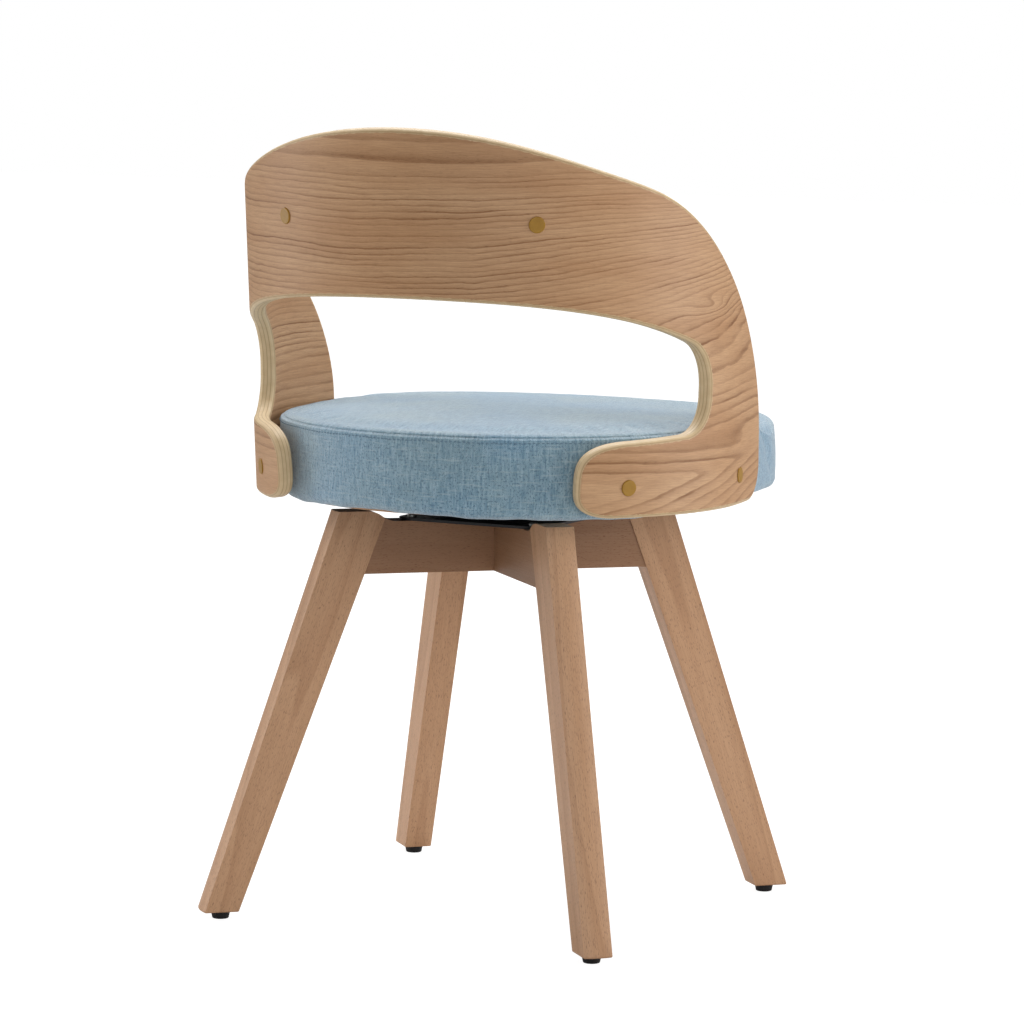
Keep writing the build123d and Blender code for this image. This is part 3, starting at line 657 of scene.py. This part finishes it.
def seat_cushion():
    """Boxed seat: sewn band at the rear and sides, cover rounded over the front, turned under the board."""
    places, seams, total = seat_columns()
    outline, _ = seat_outline(places)
    front = [front_share(point) for point, _ in outline]
    edge = [SEAM_Z - FRONT_DIP * share for share in front]
    rim = [REAR_RIM_R + (FRONT_RIM_R - REAR_RIM_R) * share for share in front]
    under = SEAT_BASE - UNDER_GAP
    rings = []

    def ring(inset, height):
        """inset(k) and height(k) for each column."""
        rings.append([
            Vector((point.x - normal.x * inset(k), point.y - normal.y * inset(k), height(k)))
            for k, (point, normal) in enumerate(outline)
        ])

    hem = LOWER_EDGE_R + UNDERWRAP
    ring(lambda k: hem, lambda k: under + HEM_LIFT)
    ring(lambda k: hem - UNDERWRAP * 0.5, lambda k: under)
    ring(lambda k: LOWER_EDGE_R, lambda k: under)
    for turn in LOWER_TURNS:
        angle = math.radians(turn)
        lift = LOWER_EDGE_R * (1 - math.cos(angle))
        ring(lambda k: LOWER_EDGE_R * (1 - math.sin(angle)) + LOWER_TUCK, lambda k: under + lift)
    bottom = under + LOWER_EDGE_R
    for share in reversed(BAND_SHARES):
        out = BAND_BULGE * math.sin(math.pi * share)
        ring(lambda k: -out, lambda k: edge[k] + (bottom - edge[k]) * share)
    seam_row = len(rings) - 1
    crown_row = seam_row + len(RIM_TURNS)
    for turn in RIM_TURNS:
        angle = math.radians(turn)
        inner = [point - normal * rim[k] for k, (point, normal) in enumerate(outline)]
        ring(
            lambda k: rim[k] * (1 - math.cos(angle)),
            lambda k: edge[k] + (dome(inner[k]) - edge[k]) * math.sin(angle),
        )
    for inset in CROWN_INSETS:
        rings.append([
            Vector((p.x - n.x * (rim[k] + inset), p.y - n.y * (rim[k] + inset), 0))
            for k, (p, n) in enumerate(outline)
        ])
        for point in rings[-1]:
            point.z = dome(point)

    rise = [[0.0] * len(places)]
    for before, after in zip(rings, rings[1:]):
        rise.append([low + (high - start).length for low, start, high in zip(rise[-1], before, after)])

    def cloth_place(i, k, row):
        turned = k // len(places)
        column = k % len(places)
        if row < crown_row:
            return (places[column] + turned * total, rise[i][column])
        return flat_cloth(rings[i][column])

    def lift_low(point):
        return Vector((point.x, point.y, under + HEM_LIFT))

    def lift_high(point):
        return Vector((point.x, point.y, dome(point)))

    cushion = closed_mesh("seat_cover", rings, len(places) // 4, cloth_place, flat_cloth, lift_low, lift_high)
    held = set()
    columns = len(places)
    for k, (point, _) in enumerate(outline):
        held.update(i * columns + k for i in range(LOWER_RINGS_HELD))
        if point.y > BAND_END_Y:
            held.add(seam_row * columns + k)
        if min(abs(places[k] - seam) for seam in seams) < SEAM_HELD:
            held.update(i * columns + k for i in range(seam_row + 1))
    first_inside = len(rings) * columns
    side = columns // 4
    held.update(range(first_inside, first_inside + (side - 1) ** 2))
    inflate(cushion, held, pressure=4.0, cap=SWELL)
    return cushion


def sew(cushion):
    """Press the seams into the cover, along the band's upper edge and down its ends, and waver the hem."""
    for vertex in cushion.data.vertices:
        place = vertex.co
        across = Vector((place.x, place.y))
        groove = 0.0
        if place.y > BAND_END_Y and abs(place.z - SEAM_Z) < SEAM_REACH:
            fade = ease((place.y - BAND_END_Y) / SEAM_FADE)
            groove = SEAM_DEPTH * fade * math.exp(-(((place.z - SEAM_Z) / SEAM_WIDTH) ** 2))
        if abs(place.x) > SEAT_HALF - SIDE_REACH and SEAT_BASE < place.z < SEAM_Z:
            upright = math.exp(-(((place.y - BAND_END_Y) / SEAM_WIDTH) ** 2))
            groove = max(groove, UPRIGHT_SEAM_DEPTH * upright)
        if groove:
            out = across.normalized() if place.y > 0 else Vector((math.copysign(1, place.x), 0))
            place.x -= out.x * groove
            place.y -= out.y * groove
        if place.z < SEAT_BASE + LOWER_EDGE_REACH and across.length > LOWER_EDGE_RADIUS:
            bearing = math.atan2(place.x, place.y)
            share = ease((SEAT_BASE + LOWER_EDGE_REACH - place.z) / LOWER_EDGE_REACH)
            rise = sum(
                size * math.exp(-(((bearing - middle) / width) ** 2))
                for size, middle, width in LOWER_EDGE_SWELLS
            )
            place.z += share * (rise + waver(bearing * SEAT_HALF, 2, *LOWER_EDGE_WAVES))


def seat_stitches():
    """Row of machine stitches on the band, just under the sewn edge."""
    drop = 0.0038
    pitch = 0.0041
    length = 0.0030
    thickness = 0.00045
    sides = 6
    end_gap = 0.002
    proud = 0.0007
    sink = 0.0010
    sections = [(-0.5, 0.3), (-0.43, 0.8), (-0.25, 1.0), (0.25, 1.0), (0.43, 0.8), (0.5, 0.3)]
    _, total = seat_outline([0.0])
    outline, _ = seat_outline(even_places(round(total / pitch), total))
    points = []
    faces = []
    for k, (point, normal) in enumerate(outline):
        if point.y < BAND_END_Y + end_gap:
            continue
        along = Vector((-normal.y, normal.x, 0.04 * math.sin(k * 1.7)))
        out = Vector((normal.x, normal.y, 0))
        middle = Vector((point.x, point.y, SEAM_Z - drop))
        middle += Vector((0, 0, waver(k * pitch, 5, (0.09, 0.0003))))
        first = len(points)
        for place, width in sections:
            sunk = sink * (2 * place) ** 2
            centre = middle + along * (place * length) + out * (proud - sunk)
            for side in range(sides):
                angle = math.tau * side / sides
                across = out * math.cos(angle) + Vector((0, 0, 1)) * math.sin(angle)
                points.append(centre + across * thickness * width)
        for i in range(len(sections) - 1):
            for side in range(sides):
                a = first + i * sides + side
                b = first + i * sides + (side + 1) % sides
                faces.append((a, b, b + sides, a + sides))
        faces.append(tuple(first + side for side in reversed(range(sides))))
        end = first + (len(sections) - 1) * sides
        faces.append(tuple(end + side for side in range(sides)))
    mesh = bpy.data.meshes.new("seat_stitches")
    mesh.from_pydata([tuple(p) for p in points], [], faces)
    mesh.shade_smooth()
    thing = bpy.data.objects.new("seat_stitches", mesh)
    bpy.context.scene.collection.objects.link(thing)
    return thing


# ---------------------------------------------------------------- back pad
PAD_T = 0.026
PAD_BEARING = math.radians(50.6)
PAD_TOP = 0.321
PAD_BOTTOM = 0.204
PAD_SIDE_TOP = 0.277
PAD_SIDE_BOTTOM = 0.212
PAD_CORNER_R = 0.016
PAD_COLUMNS = 240
PAD_BACKING = 0.0006     # gap between the cover's back and the shell
PAD_CROWN_START = 0.0242  # depth at which the crown begins
PAD_CLOTH_PLACE = 4.0    # where the pad lies on the cloth, clear of the seat


def on_bend(run, height, depth):
    """Point at a length round the shell's inner face, a height over the board and a depth inwards."""
    inside = SHELL_R - SHELL_T
    angle = run / inside
    radius = inside - depth
    centre_y = SHELL_CENTRE + SHELL_LEAN * height
    return Vector((radius * math.sin(angle), centre_y + radius * math.cos(angle), SEAT_BASE + height))


def bend_place(point):
    """Length round the bend, height and depth of a point: the reverse of on_bend."""
    height = point.z - SEAT_BASE
    behind = point.y - SHELL_CENTRE - SHELL_LEAN * height
    inside = SHELL_R - SHELL_T
    return math.atan2(point.x, behind) * inside, height, inside - math.hypot(point.x, behind)


def outline_half(ring):
    """Half the width and half the height of a ring of (place, depth)."""
    across = max(place.x for place, _ in ring)
    upright = [place.y for place, _ in ring]
    return across, (max(upright) - min(upright)) / 2


def pad_outline(count):
    """Even (point, outward normal) round the pad, in (run, height), and the columns of its top edge."""
    half = PAD_BEARING * (SHELL_R - SHELL_T)
    fine = 400
    shares = [k / fine for k in range(fine)]
    upper = [
        Vector((half * (1 - 2 * share), PAD_TOP - (PAD_TOP - PAD_SIDE_TOP) * (1 - 2 * share) ** 2))
        for share in shares
    ]
    lower = [
        Vector((half * (2 * share - 1), PAD_BOTTOM + (PAD_SIDE_BOTTOM - PAD_BOTTOM) * (1 - 2 * share) ** 2))
        for share in shares
    ]
    down = [Vector((-half, PAD_SIDE_TOP + (PAD_SIDE_BOTTOM - PAD_SIDE_TOP) * share)) for share in shares]
    rise = [Vector((half, PAD_SIDE_BOTTOM + (PAD_SIDE_TOP - PAD_SIDE_BOTTOM) * share)) for share in shares]
    raw = upper + down + lower + rise
    lengths = [0.0]
    for before, after in zip(raw, raw[1:] + raw[:1]):
        lengths.append(lengths[-1] + (after - before).length)
    total = lengths[-1]
    wide = round(count * lengths[fine] / total)
    even = []
    place = 0
    for want in even_places(count, total):
        while lengths[place + 1] < want:
            place += 1
        share = (want - lengths[place]) / (lengths[place + 1] - lengths[place])
        even.append(raw[place].lerp(raw[(place + 1) % len(raw)], share))
    # the corners are rounded by averaging neighbours, twice
    reach = round(PAD_CORNER_R * 0.9 / (total / count))
    for _ in range(2):
        even = [
            sum((even[(k + j) % count] for j in range(-reach, reach + 1)), Vector((0, 0))) / (2 * reach + 1)
            for k in range(count)
        ]
    outline = []
    for k in range(count):
        along = even[(k + 1) % count] - even[k - 1]
        outline.append((even[k], Vector((along.y, -along.x)).normalized()))
    return outline, wide


def back_pad():
    """Upholstered pad on the inside of the back, crowned towards the sitter."""
    outline, wide = pad_outline(PAD_COLUMNS)
    centre = Vector((0, (PAD_TOP + PAD_BOTTOM) / 2))
    # the cover's section from the back over the rounded edge: inset from the outline, depth from the shell
    section = [(0.016, PAD_BACKING), (0.008, 0.0004), (0.0022, 0.0004), (0.0008, 0.0012), (0.0002, 0.0035),
               (0.0, 0.0065), (0.0, 0.0100), (0.0004, 0.0135), (0.0016, 0.0168), (0.0038, 0.0195),
               (0.0070, 0.0215), (0.0112, 0.0228), (0.0160, 0.0236), (0.0215, PAD_CROWN_START)]
    flat = [[(place - normal * inset, depth) for place, normal in outline] for inset, depth in section]
    half = outline_half(flat[-1])

    def crown(place):
        """Depth over a place of the pad."""
        across = (place.x / half[0]) ** 2
        upright = ((place.y - centre.y) / half[1]) ** 2
        crowned = max(0.0, (1 - across) * (1 - upright))
        return PAD_CROWN_START + (PAD_T - PAD_CROWN_START) * crowned

    rings = [[on_bend(place.x, place.y, depth) for place, depth in ring] for ring in flat]

    def on_cloth(run, height, depth):
        return (run * (1 + depth * 2) + PAD_CLOTH_PLACE, height * (1 + depth * 3) + PAD_CLOTH_PLACE)

    def cloth_place(i, k, row):
        place, depth = flat[i][k % PAD_COLUMNS]
        return on_cloth(place.x, place.y, depth)

    def flat_place(point):
        return on_cloth(*bend_place(point))

    def lift_back(point):
        run, height, _ = bend_place(point)
        return on_bend(run, height, PAD_BACKING)

    def lift_front(point):
        run, height, _ = bend_place(point)
        return on_bend(run, height, crown(Vector((run, height))))

    pad = closed_mesh("back_pad_cover", rings, wide, cloth_place, flat_place, lift_back, lift_front)
    held = set(range(4 * PAD_COLUMNS))
    first_inside = len(rings) * PAD_COLUMNS
    inside = (wide - 1) * (PAD_COLUMNS // 2 - wide - 1)
    held.update(range(first_inside, first_inside + inside))
    inflate(pad, held, pressure=3.0, cap=0.004)
    return pad


# ---------------------------------------------------------------- materials on the CAD nodes
leg_angles = {
    "rear_left": 45,
    "rear_right": 135,
    "front_right": 225,
    "front_left": 315,
}
splay = (0.123, -0.365)  # outward run and drop of a leg
black_glide = moulded("black_glide", srgb(18, 18, 19), srgb(30, 30, 32), 0.5)
for name, angle in leg_angles.items():
    heading = math.radians(angle) + BASE_TURN
    down = (math.cos(heading) * splay[0], math.sin(heading) * splay[0], splay[1])
    paint("leg_" + name, beech("beech_" + name, down, offset=angle * 0.01))
    paint("glide_" + name, black_glide)
# the cross rails get painted shade: their wood is darkened for the shadow under the seat
for name, angle in (("cross_rail_lower", 45), ("cross_rail_upper", 135)):
    heading = math.radians(angle) + BASE_TURN
    along = (math.cos(heading), math.sin(heading), 0)
    paint(name, beech("beech_" + name, along, painted_shade=0.55, offset=angle * 0.02))
paint("leg_dowels", beech("beech_dowels", (1, 0, 0), offset=5))
paint("back_shell", veneer())
steel = zinc()
black = coated_steel()
for name in ("swivel_lower_plate", "swivel_upper_plate"):
    paint(name, black)
for name in ("plate_screws", "plate_bolts", "plate_tee_nuts", "swivel_pivot", "swivel_washer",
             "swivel_ball_cage", "glide_nails", "lug_bolts", "lug_tee_nuts", "back_screws", "back_tee_nuts"):
    paint(name, steel)
paint("swivel_balls", zinc("ball_steel", 190, 215))
paint("lug_spacers", moulded("black_spacer", srgb(20, 20, 21), srgb(32, 32, 34), 0.55))
paint("screw_caps", moulded("cap_plastic", srgb(148, 106, 20), srgb(172, 128, 34), 0.42))
plain_ply = beech("raw_ply", (1, 0, 0), offset=9)
for name in ("seat_board", "seat_rim", "back_pad_board"):
    paint(name, plain_ply)
paint("seat_dust_cover", dust_cloth())

# ---------------------------------------------------------------- soft pieces in place
cloth = woven_cloth()
cushion = seat_cushion()
refine(cushion)
sew(cushion)
cushion.data.materials.append(cloth)
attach(cushion, "seat")
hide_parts("seat_cushion")

stitches = seat_stitches()
stitches.data.materials.append(thread())
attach(stitches, "seat")

pad = back_pad()
refine(pad)
pad.data.materials.append(cloth)
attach(pad, "seat")
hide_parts("back_pad")

# ---------------------------------------------------------------- camera
IMAGE = 1024
FOCAL_PX = 4572.1
PRINCIPAL_X = 508.4
SENSOR_MM = 36.0
YAW, PITCH, ROLL = (math.radians(a) for a in (22.51, 6.54, 0.88))
CAMERA_PLACE = (-1.6079, 3.8677, 0.8474)
camera_data = bpy.data.cameras.new("camera")
camera_data.sensor_width = SENSOR_MM
camera_data.lens = SENSOR_MM * FOCAL_PX / IMAGE
camera_data.shift_x = (IMAGE / 2 - PRINCIPAL_X) / IMAGE
camera = bpy.data.objects.new("camera", camera_data)
away = Vector((-math.sin(YAW), math.cos(YAW), 0))
look = -away * math.cos(PITCH) - Vector((0, 0, 1)) * math.sin(PITCH)
right = look.cross(Vector((0, 0, 1))).normalized()
up = right.cross(look)
rolled_right = right * math.cos(ROLL) + up * math.sin(ROLL)
rolled_up = up * math.cos(ROLL) - right * math.sin(ROLL)
turn = Matrix((rolled_right, rolled_up, -look)).transposed()
camera.matrix_world = Matrix.Translation(CAMERA_PLACE) @ turn.to_4x4()
camera_data.clip_end = 40
bpy.context.scene.collection.objects.link(camera)
bpy.context.scene.camera = camera

# ---------------------------------------------------------------- floor and light
FLOOR_REACH = 14.0
FLOOR_GREY = 0.62
GLOW = 1.53
FAR_GLOW = 0.22          # how much more the floor glows far away, where less light falls on it
GLOW_SHARE = 0.6
WORLD_STRENGTH = 0.27


def pale_floor():
    """Pale floor that keeps the shadow. To the camera it glows, so that it runs into the background."""
    n = Nodes("pale_floor")
    n.shader.inputs["Base Color"].default_value = (FLOOR_GREY, FLOOR_GREY, FLOOR_GREY, 1)
    n.shader.inputs["Roughness"].default_value = 0.9
    n.shader.inputs["Specular IOR Level"].default_value = 0.0
    glow = n.add("ShaderNodeEmission")
    glow.inputs["Color"].default_value = (1, 1, 1, 1)
    out = n.add("ShaderNodeVectorMath", operation="LENGTH")
    n.put(out.inputs[0], n.coordinates())
    far = n.ramp(n.math("DIVIDE", out.outputs["Value"], 6.0), [(0.12, 0.0), (0.6, 1.0)], "EASE")
    n.put(glow.inputs["Strength"], n.math("MULTIPLY_ADD", far, FAR_GLOW, GLOW))
    seen = n.add("ShaderNodeLightPath").outputs["Is Camera Ray"]
    blend = n.add("ShaderNodeMixShader")
    n.put(blend.inputs[0], n.math("MULTIPLY", seen, GLOW_SHARE))
    n.put(blend.inputs[1], n.shader.outputs[0])
    n.put(blend.inputs[2], glow.outputs[0])
    n.put(n.tree.nodes["Material Output"].inputs["Surface"], blend.outputs[0])
    return n.material


def studio_world():
    """White to the camera, a soft grey light to everything else."""
    world = bpy.data.worlds.new("studio")
    world.use_nodes = True
    tree = world.node_tree
    background = tree.nodes["Background"]
    background.inputs["Color"].default_value = (1, 1, 1, 1)
    background.inputs["Strength"].default_value = WORLD_STRENGTH
    bright = tree.nodes.new("ShaderNodeBackground")
    bright.inputs["Color"].default_value = (1, 1, 1, 1)
    path = tree.nodes.new("ShaderNodeLightPath")
    choose = tree.nodes.new("ShaderNodeMixShader")
    tree.links.new(path.outputs["Is Camera Ray"], choose.inputs[0])
    tree.links.new(background.outputs[0], choose.inputs[1])
    tree.links.new(bright.outputs[0], choose.inputs[2])
    tree.links.new(choose.outputs[0], tree.nodes["World Output"].inputs["Surface"])
    return world


floor_corners = [(-1, -1), (1, -1), (1, 1), (-1, 1)]
floor_mesh = bpy.data.meshes.new("floor")
floor_mesh.from_pydata([(x * FLOOR_REACH, y * FLOOR_REACH, 0) for x, y in floor_corners], [], [(0, 1, 2, 3)])
floor = bpy.data.objects.new("floor", floor_mesh)
bpy.context.scene.collection.objects.link(floor)
floor_mesh.materials.append(pale_floor())
bpy.context.scene.world = studio_world()


def softbox(name, position, target, size, power):
    """Rectangular area light, (width, height) in size, aimed at a target."""
    lamp = bpy.data.lights.new(name, "AREA")
    lamp.shape = "RECTANGLE"
    lamp.size, lamp.size_y = size
    lamp.energy = power
    thing = bpy.data.objects.new(name, lamp)
    aim = Vector(target) - Vector(position)
    thing.matrix_world = Matrix.Translation(position) @ aim.to_track_quat("-Z", "Y").to_matrix().to_4x4()
    bpy.context.scene.collection.objects.link(thing)


# the sides of the picture, from the camera's own directions
picture_right = Vector((-math.cos(YAW), -math.sin(YAW), 0))
towards_camera = Vector((-math.sin(YAW), math.cos(YAW), 0))


def beside(rightward, nearer, height):
    """Place given in metres towards the right of the picture, towards the camera and up."""
    return picture_right * rightward + towards_camera * nearer + Vector((0, 0, height))


softbox("overhead", beside(0.1, -1.3, 2.5), (0, 0, 0.4), (2.4, 2.0), 76)
softbox("left_side", beside(-2.7, -0.5, 1.1), (0, 0, 0.4), (1.4, 2.2), 32)
softbox("right_side", beside(2.7, 0.3, 0.9), (0, 0, 0.3), (1.6, 2.0), 42)
softbox("front_fill", beside(0.2, 3.4, 1.4), (0, 0, 0.3), (2.0, 2.0), 26)

view = bpy.context.scene.view_settings
view.view_transform = "Standard"
